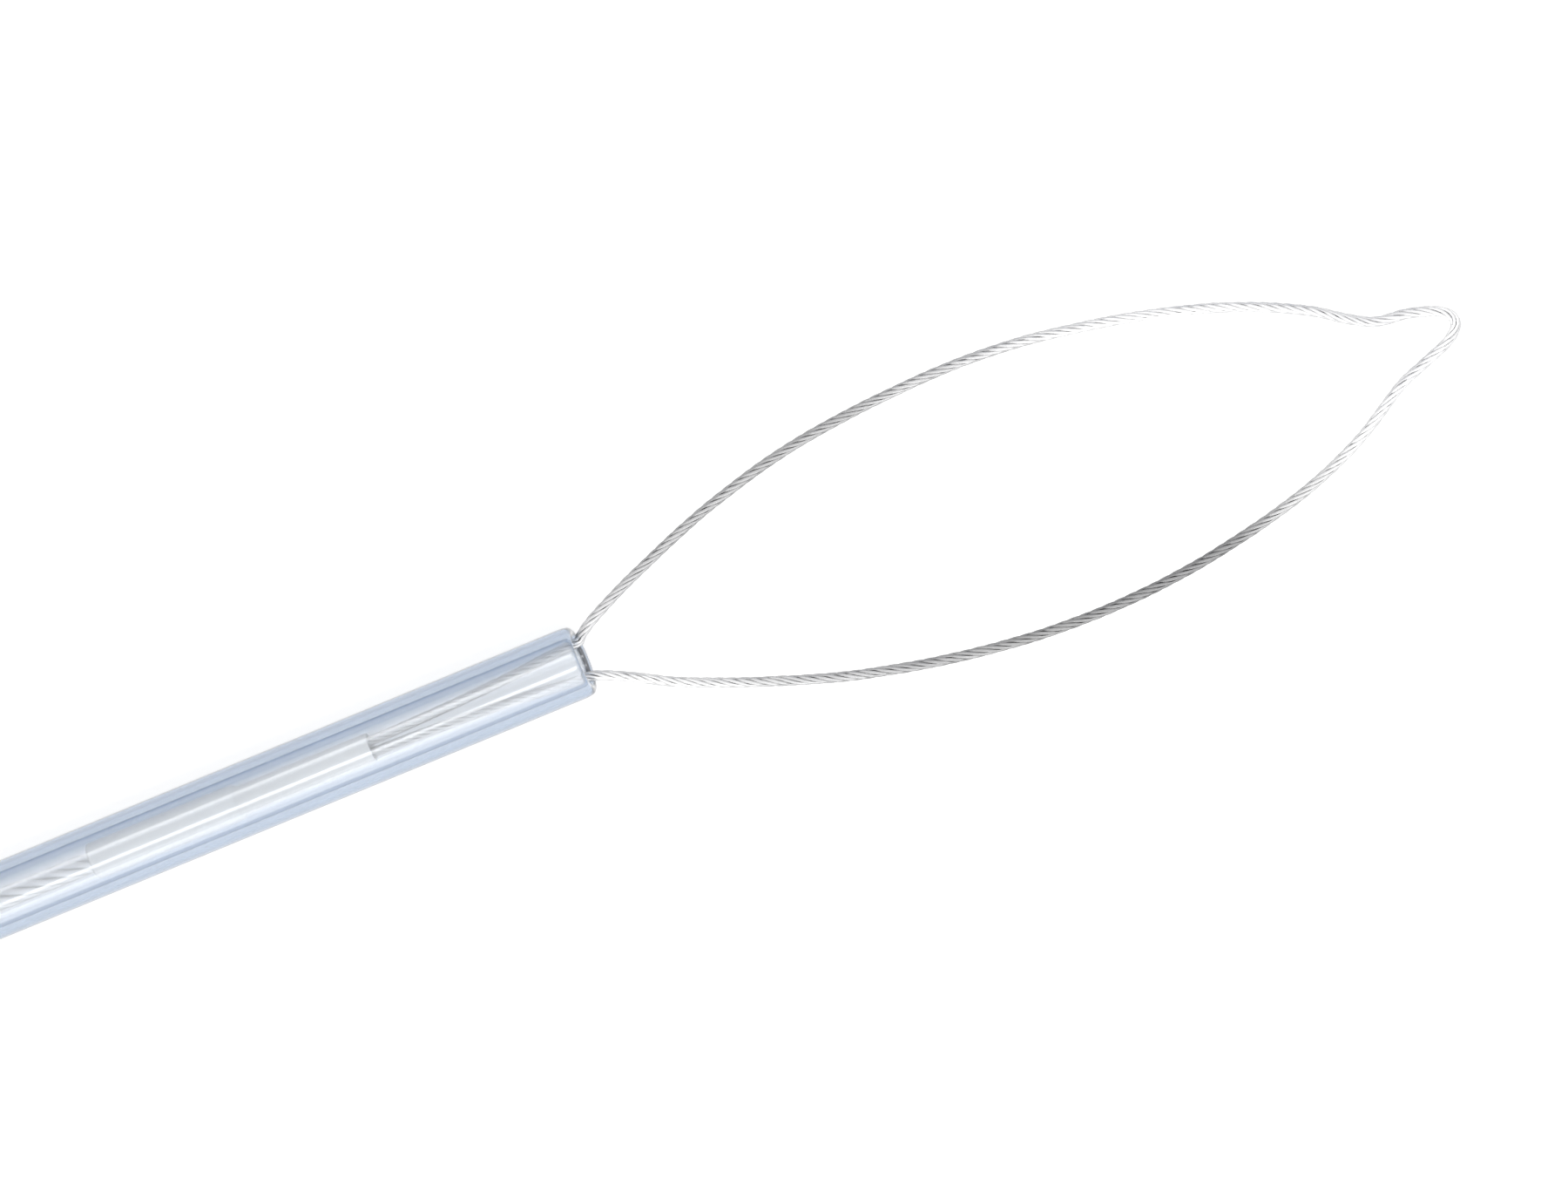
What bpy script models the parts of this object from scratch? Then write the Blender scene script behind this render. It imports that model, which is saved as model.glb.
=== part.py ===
"""Polypectomy snare.

A three-ring handle whose sliding spool drives a braided wire loop in and out of a long plastic
sheath. The handle lies flat along X with its nose toward +X. The sheath leaves the nose, is coiled
once over itself on the table and ends in a straight open tip, from which the loop points to -X.
The origin is the middle of the flat underside of the nose block. Sizes are in metres.
"""

from math import acos, asin, atan2, cos, pi, sin, sqrt, tan

import bmesh
import bpy
from mathutils import Matrix, Vector

# General
FIT = 0.0003
SNUG = 0.00003

# Sheath: extruded plastic tube
SHEATH_OD = 0.0024
SHEATH_ID = 0.0017
WORKING_LENGTH = 2.3
LEAD_RUN = 0.036
TIP_LENGTH = 0.080
TOP_TURNS = 4.5
BOTTOM_TURNS = 6.0
TURN_GAP = 0.0001

# Wire loop, cable and crimp
LOOP_LENGTH = 0.0298
LOOP_WIDTH = 0.0090
WIRE_D = 0.00034
MOUTH_RUN = 0.0006
CRIMP_SETBACK = 0.0075
CRIMP_LENGTH = 0.0099
CRIMP_WALL = 0.0002
CRIMP_NECK_LENGTH = 0.0046
CRIMP_NECK_WALL = 0.00008
CABLE_D = 0.00074
CABLE_RUN = 0.020
SEAT_DEPTH = 0.004

# Handle
TRAVEL = 0.036
SHAFT_WIDTH = 0.012
BLOCK_SIZE = 0.018
NOSE_BLOCK_LENGTH = 0.018
NOSE_ROUND_D = 0.0212
REAR_STOP_LENGTH = 0.004
RAIL_LIP = 0.0024
RAIL_RECESS = 0.0009
RAIL_END = 0.003
SLOT_WIDTH = 0.005
SLOT_MARGIN = 0.001
THUMB_INNER_D = 0.024
THUMB_RIM = 0.006
THUMB_THICKNESS = 0.010
RING_SINK = 0.003

# Sliding spool
HUB_LENGTH = 0.026
HUB_WIDTH = 0.0195
FINGER_INNER_D = 0.021
FINGER_RIM = 0.0055
FINGER_THICKNESS = 0.009
FINGER_SINK = 0.003
WEB_THICKNESS = 0.006
WEB_INSET = 0.001

# Clamp and connector on the spool
CLAMP_LENGTH = 0.012
CLAMP_BELOW = 0.0035
CLAMP_ABOVE = 0.0050
PIN_SHANK_D = 0.0024
PIN_D = 0.004
PIN_RISE = 0.018
COLLAR_D = 0.0096
COLLAR_HEIGHT = 0.004
COLLAR_SPIGOT_D = 0.0054
NUT_ACROSS_FLATS = 0.007
NUT_HEIGHT = 0.0032
SCREW_D = 0.0014
SCREW_SPACING = 0.0084
SOCKET_DEPTH = 0.0012

# Nose
TUBE_OD = 0.0016
TUBE_ID = 0.0010
BUSH_OD = 0.006
BUSH_LENGTH = 0.006
SPIGOT_D = 0.008
SPIGOT_LENGTH = 0.003
BARREL_BASE_D = 0.0145
BARREL_TIP_D = 0.0086
BARREL_FLANGE = 0.003
FERRULE_LENGTH = 0.012
FERRULE_WALL = 0.0007
RELIEF_LENGTH = 0.020
RELIEF_BASE_D = 0.0078
RELIEF_TIP_WALL = 0.0007
RELIEF_GROOVES = 4

# Outline of the loop: share of its length from the mouth, share of its width across the axis
LOOP_OUTLINE = (
    (0.007, -0.086), (0.031, -0.132), (0.095, -0.223), (0.192, -0.337), (0.302, -0.421),
    (0.432, -0.460), (0.540, -0.456), (0.640, -0.409), (0.729, -0.340), (0.799, -0.261),
    (0.858, -0.168), (0.897, -0.081), (0.923, -0.036), (0.955, -0.022), (0.984, 0.008),
    (0.998, 0.042), (0.999, 0.082), (0.984, 0.124), (0.950, 0.166), (0.919, 0.207),
    (0.860, 0.321), (0.790, 0.414), (0.699, 0.487), (0.600, 0.532), (0.491, 0.538),
    (0.381, 0.500), (0.271, 0.424), (0.180, 0.328), (0.091, 0.212), (0.033, 0.111),
)

# Heights and stations that follow from the sizes above
axis_z = BLOCK_SIZE / 2
nose_face_x = NOSE_BLOCK_LENGTH / 2
front_stop_x = -NOSE_BLOCK_LENGTH / 2
hub_x = front_stop_x - FIT - HUB_LENGTH / 2
rear_stop_x = front_stop_x - 2 * FIT - HUB_LENGTH - TRAVEL
hub_height = BLOCK_SIZE - 2 * FIT
window = SHAFT_WIDTH + 2 * FIT
thumb_outer_r = THUMB_INNER_D / 2 + THUMB_RIM
thumb_x = rear_stop_x - REAR_STOP_LENGTH - thumb_outer_r + RING_SINK
finger_outer_r = FINGER_INNER_D / 2 + FINGER_RIM
finger_y = HUB_WIDTH / 2 + finger_outer_r - FINGER_SINK
tube_bore_d = TUBE_OD + 2 * FIT
tube_front_x = nose_face_x + TRAVEL - BUSH_LENGTH
ferrule_x = tube_front_x + FIT
barrel_end_x = ferrule_x + FERRULE_LENGTH / 2
relief_x = barrel_end_x + FIT
relief_end_x = relief_x + RELIEF_LENGTH
sheath_exit_x = relief_end_x + FIT
sheath_bore_d = SHEATH_OD + 2 * FIT
ferrule_od = sheath_bore_d + 2 * FERRULE_WALL

# Coil: a bottom row wound outward and a top row wound inward
pitch = SHEATH_OD + TURN_GAP
low_z = SHEATH_OD / 2
high_z = low_z + SHEATH_OD + TURN_GAP / 2
coil_turns = TOP_TURNS + BOTTOM_TURNS
coiled_length = WORKING_LENGTH - LEAD_RUN - TIP_LENGTH
even_r = coiled_length / (2 * pi * coil_turns)
leaving_run = sqrt(2 * SHEATH_OD * (even_r + BOTTOM_TURNS / 2 * pitch))
coil_r = (coiled_length - leaving_run) / (2 * pi * coil_turns)
outer_turn_r = coil_r + BOTTOM_TURNS / 2 * pitch
first_turn_r = coil_r + TOP_TURNS / 2 * pitch
coil_outer_r = outer_turn_r + SHEATH_OD / 2
coil_inner_r = coil_r - BOTTOM_TURNS / 2 * pitch - SHEATH_OD / 2
coil_x = sheath_exit_x + LEAD_RUN
coil_y = first_turn_r
coil_height = high_z + SHEATH_OD / 2
tip_y = coil_y + outer_turn_r
tip_start_x = coil_x - sqrt(2 * SHEATH_OD * outer_turn_r) - FIT
mouth_x = tip_start_x - TIP_LENGTH


def material(name, color, metallic=0.0, roughness=0.4, transmission=0.0):
    made = bpy.data.materials.new(name)
    made.use_nodes = True
    shader = made.node_tree.nodes["Principled BSDF"]
    shader.inputs["Base Color"].default_value = (*color, 1.0)
    shader.inputs["Metallic"].default_value = metallic
    shader.inputs["Roughness"].default_value = roughness
    shader.inputs["Transmission Weight"].default_value = transmission
    return made


def add(name, data, collection, finish=None):
    made = bpy.data.objects.new(name, data)
    collection.objects.link(made)
    if finish is not None:
        data.materials.append(finish)
    return made


def fillet(corners, closed, steps=3):
    """Round each (r, z, radius) corner of a profile with a short arc."""
    points = []
    count = len(corners)
    for index, (r, z, radius) in enumerate(corners):
        here = Vector((r, z))
        ends = not closed and index in (0, count - 1)
        if radius <= 0 or ends:
            points.append((r, z))
            continue
        before = Vector(corners[index - 1][:2]) - here
        after = Vector(corners[(index + 1) % count][:2]) - here
        before.normalize()
        after.normalize()
        half = acos(max(-1.0, min(1.0, before.dot(after)))) / 2
        reach = radius / tan(half)
        middle = here + (before + after).normalized() * (radius / sin(half))
        start = here + before * reach - middle
        turn = pi - 2 * half
        side = 1.0 if before.cross(after) < 0 else -1.0
        for step in range(steps + 1):
            angle = side * turn * step / steps
            swung = Matrix.Rotation(angle, 2) @ start
            points.append(tuple(middle + swung))
    return points


def turned(name, corners, collection, finish=None, steps=32, closed=True, arc_steps=3):
    """Turn a profile of (radius, height, corner radius) about the local Z axis."""
    points = fillet(corners, closed, arc_steps)
    edges = [(i, i + 1) for i in range(len(points) - 1)]
    if closed:
        edges.append((len(points) - 1, 0))
    mesh = bpy.data.meshes.new(name)
    mesh.from_pydata([(r, 0.0, z) for r, z in points], edges, [])
    made = add(name, mesh, collection, finish)
    screw = made.modifiers.new("Turn", 'SCREW')
    screw.axis = 'Z'
    screw.angle = 2 * pi
    screw.steps = steps
    screw.render_steps = steps
    screw.use_merge_vertices = True
    screw.merge_threshold = 0.000001
    screw.use_smooth_shade = True
    return made


def pipe(name, length, outer_d, inner_d, collection, finish=None, steps=32, edge=0.0001):
    """A tube from local z = 0 up to its length, with rounded rims."""
    corners = (
        (inner_d / 2, length, edge), (outer_d / 2, length, edge),
        (outer_d / 2, 0.0, edge), (inner_d / 2, 0.0, edge),
    )
    return turned(name, corners, collection, finish, steps, True, 1)


def block(name, size, center, collection, finish=None, edge=0.0, segments=3):
    """A box with rounded edges, its mesh centred on the object's origin."""
    mesh = bpy.data.meshes.new(name)
    form = bmesh.new()
    bmesh.ops.create_cube(form, size=1.0, matrix=Matrix.Diagonal((*size, 1.0)))
    form.to_mesh(mesh)
    form.free()
    made = add(name, mesh, collection, finish)
    made.location = center
    if edge > 0:
        bevel = made.modifiers.new("Edges", 'BEVEL')
        bevel.width = edge
        bevel.segments = segments
        bevel.limit_method = 'ANGLE'
    return made


def tapered_plate(name, root_width, tip_width, reach, thickness, collection, edge):
    """A plate that widens from its root at local y = 0 to its tip, with rounded edges."""
    plate = block(name, (root_width, reach, thickness), (0.0, 0.0, 0.0), collection, None, edge, 2)
    form = bmesh.new()
    form.from_mesh(plate.data)
    tip = [vert for vert in form.verts if vert.co.y > 0]
    bmesh.ops.scale(form, verts=tip, vec=(tip_width / root_width, 1.0, 1.0))
    bmesh.ops.translate(form, verts=form.verts, vec=(0.0, reach / 2, 0.0))
    form.to_mesh(plate.data)
    form.free()
    return plate


def rod(name, radius, depth, center, collection, finish=None, steps=32, axis='Z', smooth=True):
    """A plain cylinder or prism along one world axis."""
    mesh = bpy.data.meshes.new(name)
    form = bmesh.new()
    bmesh.ops.create_cone(form, cap_ends=True, segments=steps, radius1=radius, radius2=radius,
                          depth=depth)
    for face in form.faces:
        face.smooth = smooth and len(face.verts) == 4
    form.to_mesh(mesh)
    form.free()
    made = add(name, mesh, collection, finish)
    made.location = center
    if axis == 'X':
        made.rotation_euler = (0.0, pi / 2, 0.0)
    return made


def combine(target, tool, operation):
    joined = target.modifiers.new(tool.name, 'BOOLEAN')
    joined.operation = operation
    joined.solver = 'EXACT'
    joined.object = tool
    tool.hide_render = True
    tool.display_type = 'WIRE'


def along_x(made, x, y, z):
    """Lay a turned piece down so that its local Z points to +X."""
    made.rotation_euler = (0.0, pi / 2, 0.0)
    made.location = (x, y, z)
    return made


def wire(name, points, diameter, collection, finish=None):
    curve = bpy.data.curves.new(name, 'CURVE')
    curve.dimensions = '3D'
    curve.bevel_depth = diameter / 2
    curve.bevel_resolution = 2
    curve.use_fill_caps = True
    line = curve.splines.new('POLY')
    line.points.add(len(points) - 1)
    for slot, point in zip(line.points, points):
        slot.co = (*point, 1.0)
    return add(name, curve, collection, finish)


def smooth_through(points, steps):
    """A Catmull-Rom curve through hand-set points."""
    closed_ends = [points[0], *points, points[-1]]
    result = []
    for index in range(len(points) - 1):
        p0, p1, p2, p3 = (Vector(closed_ends[index + k]) for k in range(4))
        for step in range(steps):
            t = step / steps
            blend = (2 * p1 + (p2 - p0) * t + (2 * p0 - 5 * p1 + 4 * p2 - p3) * t ** 2
                     + (3 * p1 - p0 - 3 * p2 + p3) * t ** 3)
            result.append(blend / 2)
    result.append(Vector(points[-1]))
    return result


def rounded_ring(name, inner_r, rim, thickness, collection, finish=None):
    """A finger or thumb ring: a full round-cornered section turned about Z."""
    corner = rim * 0.45
    half = thickness / 2
    corners = (
        (inner_r, half, corner), (inner_r + rim, half, corner),
        (inner_r + rim, -half, corner), (inner_r, -half, corner),
    )
    return turned(name, corners, collection, finish, 36, True, 2)


for leftover in list(bpy.data.objects):
    bpy.data.objects.remove(leftover, do_unlink=True)

snare = bpy.data.collections.new("polypectomy_snare")
tools = bpy.data.collections.new("forming_tools")
bpy.context.scene.collection.children.link(snare)
bpy.context.scene.collection.children.link(tools)

handle_plastic = material("handle_plastic", (0.86, 0.87, 0.88), 0.0, 0.35)
spool_plastic = material("spool_plastic", (0.10, 0.28, 0.60), 0.0, 0.35)
collar_plastic = material("collar_plastic", (0.05, 0.05, 0.06), 0.0, 0.4)
pin_metal = material("pin_metal", (0.78, 0.76, 0.70), 1.0, 0.2)
nut_metal = material("nut_metal", (0.80, 0.79, 0.76), 1.0, 0.25)
clamp_brass = material("clamp_brass", (0.78, 0.60, 0.28), 1.0, 0.3)
screw_steel = material("screw_steel", (0.45, 0.45, 0.47), 1.0, 0.35)
tube_steel = material("tube_steel", (0.75, 0.76, 0.78), 1.0, 0.2)
bush_brass = material("bush_brass", (0.76, 0.58, 0.27), 1.0, 0.3)
barrel_plastic = material("barrel_plastic", (0.12, 0.30, 0.62), 0.0, 0.35)
ferrule_metal = material("ferrule_metal", (0.74, 0.75, 0.77), 1.0, 0.25)
relief_rubber = material("relief_rubber", (0.07, 0.07, 0.08), 0.0, 0.6)
sheath_plastic = material("sheath_plastic", (0.70, 0.80, 0.92), 0.0, 0.25, 0.6)
lead_plastic = material("lead_plastic", (0.70, 0.80, 0.92), 0.0, 0.25, 0.6)
coil_plastic = material("coil_plastic", (0.70, 0.80, 0.92), 0.0, 0.25, 0.6)
cable_steel = material("cable_steel", (0.66, 0.66, 0.68), 1.0, 0.35)
crimp_steel = material("crimp_steel", (0.80, 0.80, 0.81), 1.0, 0.3)
loop_steel = material("loop_steel", (0.82, 0.82, 0.83), 1.0, 0.3)

# Handle shaft: one moulding with the thumb ring, rear stop, slotted bar and nose block
shaft_back_x = thumb_x + THUMB_INNER_D / 2 + THUMB_RIM / 2
shaft_length = nose_face_x - SPIGOT_LENGTH - shaft_back_x
handle_shaft = block("handle_shaft", (shaft_length, SHAFT_WIDTH, SHAFT_WIDTH),
                     (shaft_back_x + shaft_length / 2, 0.0, axis_z), snare, handle_plastic, 0.0012)
nose_form = block("nose_block_form", (NOSE_BLOCK_LENGTH, BLOCK_SIZE, BLOCK_SIZE),
                  (0.0, 0.0, axis_z), tools, None, 0.002)
nose_round = turned("nose_rounding_tool", (
    (0.0, NOSE_BLOCK_LENGTH, 0.0), (NOSE_ROUND_D * 0.40, NOSE_BLOCK_LENGTH, 0.0),
    (NOSE_ROUND_D / 2, NOSE_BLOCK_LENGTH / 2, 0.0), (BLOCK_SIZE * 0.68, NOSE_BLOCK_LENGTH * 0.1, 0.004),
    (BLOCK_SIZE * 0.72, -NOSE_BLOCK_LENGTH, 0.0), (0.0, -NOSE_BLOCK_LENGTH, 0.0),
), tools, None, 40, False, 4)
along_x(nose_round, 0.0, 0.0, axis_z)
combine(nose_form, nose_round, 'INTERSECT')
combine(handle_shaft, nose_form, 'UNION')
stop_form = block("rear_stop_form", (REAR_STOP_LENGTH, BLOCK_SIZE, BLOCK_SIZE),
                  (rear_stop_x - REAR_STOP_LENGTH / 2, 0.0, axis_z), tools, None, 0.0012)
combine(handle_shaft, stop_form, 'UNION')
thumb_form = rounded_ring("thumb_ring_form", THUMB_INNER_D / 2, THUMB_RIM, THUMB_THICKNESS, tools)
thumb_form.location = (thumb_x, 0.0, axis_z)
combine(handle_shaft, thumb_form, 'UNION')

# Recess along each side of the bar, which leaves a lip above and below as the spool's rails
recess_back_x = rear_stop_x + RAIL_END
recess_length = front_stop_x - RAIL_END - recess_back_x
for side, label in ((1.0, "left"), (-1.0, "right")):
    recess_tool = block("rail_recess_tool_" + label,
                        (recess_length, 2 * RAIL_RECESS, SHAFT_WIDTH - 2 * RAIL_LIP),
                        (recess_back_x + recess_length / 2, side * SHAFT_WIDTH / 2, axis_z), tools)
    combine(handle_shaft, recess_tool, 'DIFFERENCE')

# Slot for the clamp, and the stepped bore through the nose block
slot_front_x = hub_x + CLAMP_LENGTH / 2 + SLOT_MARGIN
slot_back_x = hub_x - TRAVEL - CLAMP_LENGTH / 2 - SLOT_MARGIN
slot_tool = block("slot_tool", (slot_front_x - slot_back_x, SLOT_WIDTH, 2 * SHAFT_WIDTH),
                  ((slot_front_x + slot_back_x) / 2, 0.0, axis_z), tools, None, 0.0008, 2)
combine(handle_shaft, slot_tool, 'DIFFERENCE')
bore_length = nose_face_x - slot_front_x + 2 * SLOT_MARGIN
bore_tool = rod("tube_bore_tool", tube_bore_d / 2, bore_length,
                (slot_front_x - SLOT_MARGIN + bore_length / 2, 0.0, axis_z), tools, None, 24, 'X')
combine(handle_shaft, bore_tool, 'DIFFERENCE')
bush_back_x = nose_face_x - SPIGOT_LENGTH - 2 * FIT - BUSH_LENGTH
bush_seat_length = nose_face_x - bush_back_x + FIT + SLOT_MARGIN
bush_tool = rod("bush_seat_tool", BUSH_OD / 2 + FIT, bush_seat_length,
                (bush_back_x - FIT + bush_seat_length / 2, 0.0, axis_z), tools, None, 32, 'X')
combine(handle_shaft, bush_tool, 'DIFFERENCE')
spigot_seat_length = SPIGOT_LENGTH + FIT + SLOT_MARGIN
spigot_tool = rod("spigot_seat_tool", SPIGOT_D / 2 + FIT, spigot_seat_length,
                  (nose_face_x - SPIGOT_LENGTH - FIT + spigot_seat_length / 2, 0.0, axis_z),
                  tools, None, 32, 'X')
combine(handle_shaft, spigot_tool, 'DIFFERENCE')

# Spool: a square hub around the shaft with one finger ring on each side. A web widens from the
# hub's corners until its edges meet the ring's outside as tangents.
slider = block("slider", (HUB_LENGTH, HUB_WIDTH, hub_height), (hub_x, 0.0, axis_z), snare,
               spool_plastic, 0.0018)
web_root_x = HUB_LENGTH / 2 - WEB_INSET
web_root_y = HUB_WIDTH / 2 - WEB_INSET
ring_distance = sqrt(web_root_x ** 2 + (finger_y - web_root_y) ** 2)
tangent_length = sqrt(ring_distance ** 2 - finger_outer_r ** 2)
tangent_angle = atan2(finger_y - web_root_y, -web_root_x) - asin(finger_outer_r / ring_distance)
web_tip_x = web_root_x + tangent_length * cos(tangent_angle)
web_reach = tangent_length * sin(tangent_angle)
for side, label in ((1.0, "left"), (-1.0, "right")):
    web_form = tapered_plate("finger_web_form_" + label, 2 * web_root_x, 2 * web_tip_x, web_reach,
                             WEB_THICKNESS, tools, WEB_THICKNESS * 0.12)
    web_form.location = (hub_x, side * web_root_y, axis_z)
    web_form.rotation_euler = (0.0, 0.0, 0.0 if side > 0 else pi)
    web_hole = rod("finger_web_hole_tool_" + label, (FINGER_INNER_D + FINGER_RIM) / 2, 2 * WEB_THICKNESS,
                   (hub_x, side * finger_y, axis_z), tools, None, 32)
    combine(web_form, web_hole, 'DIFFERENCE')
    combine(slider, web_form, 'UNION')
    ring_form = rounded_ring("finger_ring_form_" + label, FINGER_INNER_D / 2, FINGER_RIM,
                             FINGER_THICKNESS, tools)
    ring_form.location = (hub_x, side * finger_y, axis_z)
    combine(slider, ring_form, 'UNION')
window_tool = block("window_tool", (2 * HUB_LENGTH, window, window), (hub_x, 0.0, axis_z), tools,
                    None, 0.0009, 2)
combine(slider, window_tool, 'DIFFERENCE')
collar_hole_tool = rod("collar_hole_tool", COLLAR_SPIGOT_D / 2 + FIT, BLOCK_SIZE / 2,
                       (hub_x, 0.0, axis_z + BLOCK_SIZE / 2), tools, None, 32)
combine(slider, collar_hole_tool, 'DIFFERENCE')

# Clamp block in the slot, bored for the drive tube and tapped for the pin and its two screws
clamp_top_z = axis_z + CLAMP_ABOVE
clamp_bottom_z = axis_z - CLAMP_BELOW
clamp_block = block("clamp_block", (CLAMP_LENGTH, SLOT_WIDTH - 2 * FIT, clamp_top_z - clamp_bottom_z),
                    (hub_x, 0.0, (clamp_top_z + clamp_bottom_z) / 2), snare, clamp_brass, 0.0003, 2)
clamp_bore = rod("clamp_bore_tool", tube_bore_d / 2, 2 * CLAMP_LENGTH, (hub_x, 0.0, axis_z), tools,
                 None, 24, 'X')
combine(clamp_block, clamp_bore, 'DIFFERENCE')
pin_floor_z = axis_z + tube_bore_d / 2 + 2 * FIT
pin_hole_height = clamp_top_z - pin_floor_z
pin_hole = rod("pin_hole_tool", PIN_SHANK_D / 2 + FIT, 2 * pin_hole_height,
               (hub_x, 0.0, clamp_top_z), tools, None, 24)
combine(clamp_block, pin_hole, 'DIFFERENCE')
screw_bottom_z = axis_z + TUBE_OD / 2 + FIT
screw_top_z = clamp_top_z - FIT
screw_length = screw_top_z - screw_bottom_z
for side, label in ((1.0, "front"), (-1.0, "rear")):
    screw_x = hub_x + side * SCREW_SPACING / 2
    screw_hole = rod("screw_hole_tool_" + label, SCREW_D / 2 + FIT, 2 * CLAMP_ABOVE,
                     (screw_x, 0.0, axis_z + CLAMP_ABOVE), tools, None, 24)
    combine(clamp_block, screw_hole, 'DIFFERENCE')
    screw = rod("clamp_screw_" + label, SCREW_D / 2, screw_length,
                (screw_x, 0.0, screw_bottom_z + screw_length / 2), snare, screw_steel, 24)
    socket = rod("socket_tool_" + label, SCREW_D / 4, 2 * SOCKET_DEPTH,
                 (screw_x, 0.0, screw_top_z), tools, None, 6, 'Z', False)
    combine(screw, socket, 'DIFFERENCE')

# Insulating collar, connector pin and its nut on top of the hub
collar_seat_z = axis_z + hub_height / 2 + FIT
collar_top_z = collar_seat_z + COLLAR_HEIGHT
collar_bottom_z = axis_z + window / 2
pin_bore_r = PIN_SHANK_D / 2 + FIT
pin_collar = turned("pin_collar", (
    (pin_bore_r, COLLAR_HEIGHT, 0.0), (COLLAR_D * 0.40, COLLAR_HEIGHT, 0.0005),
    (COLLAR_D / 2, 0.0, 0.0003), (COLLAR_SPIGOT_D / 2, 0.0, 0.0),
    (COLLAR_SPIGOT_D / 2, collar_bottom_z - collar_seat_z, 0.0),
    (pin_bore_r, collar_bottom_z - collar_seat_z, 0.0),
), snare, collar_plastic, 24)
pin_collar.location = (hub_x, 0.0, collar_seat_z)
pin_seat_z = collar_top_z + FIT
pin_bottom_z = pin_floor_z + FIT
connector_pin = turned("connector_pin", (
    (0.0, PIN_RISE + NUT_HEIGHT, 0.0), (PIN_D / 2, PIN_RISE + NUT_HEIGHT, 0.0008),
    (PIN_D / 2, 0.0, 0.0001), (PIN_SHANK_D / 2, 0.0, 0.0),
    (PIN_SHANK_D / 2, pin_bottom_z - pin_seat_z, 0.0001), (0.0, pin_bottom_z - pin_seat_z, 0.0),
), snare, pin_metal, 24, False)
connector_pin.location = (hub_x, 0.0, pin_seat_z)
pin_nut = rod("pin_nut", NUT_ACROSS_FLATS / sqrt(3), NUT_HEIGHT,
              (hub_x, 0.0, pin_seat_z + NUT_HEIGHT / 2), snare, nut_metal, 6, 'Z', False)
nut_round = turned("nut_rounding_tool", (
    (0.0, NUT_HEIGHT / 2, 0.0), (NUT_ACROSS_FLATS / 2, NUT_HEIGHT / 2, 0.0),
    (NUT_ACROSS_FLATS * 0.62, NUT_HEIGHT * 0.32, 0.0), (NUT_ACROSS_FLATS * 0.62, -NUT_HEIGHT, 0.0),
    (0.0, -NUT_HEIGHT, 0.0),
), tools, None, 32, False)
nut_round.location = pin_nut.location
combine(pin_nut, nut_round, 'INTERSECT')
nut_bore = rod("nut_bore_tool", PIN_D / 2 + FIT, 2 * NUT_HEIGHT, pin_nut.location, tools, None, 32)
combine(pin_nut, nut_bore, 'DIFFERENCE')

# Drive tube from the clamp into the nose, and the rear end of the cable held in it
tube_back_x = hub_x - CLAMP_LENGTH / 2
drive_tube = pipe("drive_tube", tube_front_x - tube_back_x, TUBE_OD, TUBE_ID, snare, tube_steel, 24)
along_x(drive_tube, tube_back_x, 0.0, axis_z)
cable_rear_x = tube_front_x - SEAT_DEPTH
cable_rear_end_x = relief_end_x - FIT
cable_proximal = pipe("cable_proximal", cable_rear_end_x - cable_rear_x, CABLE_D, CABLE_D / 4,
                      snare, cable_steel, 12, 0.0)
along_x(cable_proximal, cable_rear_x, 0.0, axis_z)

# Nose: guide bush, barrel, ferrule of the sheath and its strain relief
guide_bush = pipe("guide_bush", BUSH_LENGTH, BUSH_OD, tube_bore_d, snare, bush_brass, 24, 0.0003)
along_x(guide_bush, bush_back_x, 0.0, axis_z)
barrel_x = nose_face_x + FIT
barrel_length = barrel_end_x - barrel_x
ferrule_seat_z = ferrule_x - FIT - barrel_x
ferrule_seat_r = ferrule_od / 2 + FIT
waist_z = BARREL_FLANGE + barrel_length * 0.12
nose_barrel = turned("nose_barrel", (
    (ferrule_seat_r, barrel_length, 0.0002), (BARREL_TIP_D / 2, barrel_length, 0.0008),
    (BARREL_BASE_D * 0.38, waist_z, 0.003), (BARREL_BASE_D * 0.38, BARREL_FLANGE, 0.0006),
    (BARREL_BASE_D / 2, BARREL_FLANGE, 0.0006), (BARREL_BASE_D / 2, 0.0, 0.0004),
    (SPIGOT_D / 2, 0.0, 0.0), (SPIGOT_D / 2, -SPIGOT_LENGTH, 0.0003),
    (tube_bore_d / 2, -SPIGOT_LENGTH, 0.0), (tube_bore_d / 2, ferrule_seat_z, 0.0),
    (ferrule_seat_r, ferrule_seat_z, 0.0),
), snare, barrel_plastic, 28, True, 2)
along_x(nose_barrel, barrel_x, 0.0, axis_z)
ferrule = pipe("ferrule", FERRULE_LENGTH, ferrule_od, sheath_bore_d, snare, ferrule_metal, 24, 0.0002)
along_x(ferrule, ferrule_x, 0.0, axis_z)
relief_seat_z = ferrule_x + FERRULE_LENGTH + FIT - relief_x
relief_tip_r = sheath_bore_d / 2 + RELIEF_TIP_WALL
groove_start_z = RELIEF_LENGTH * 0.40
groove_pitch = (RELIEF_LENGTH - groove_start_z) / (RELIEF_GROOVES + 0.5)
relief_profile = [(sheath_bore_d / 2, RELIEF_LENGTH, 0.0), (relief_tip_r, RELIEF_LENGTH, 0.0003)]
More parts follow.
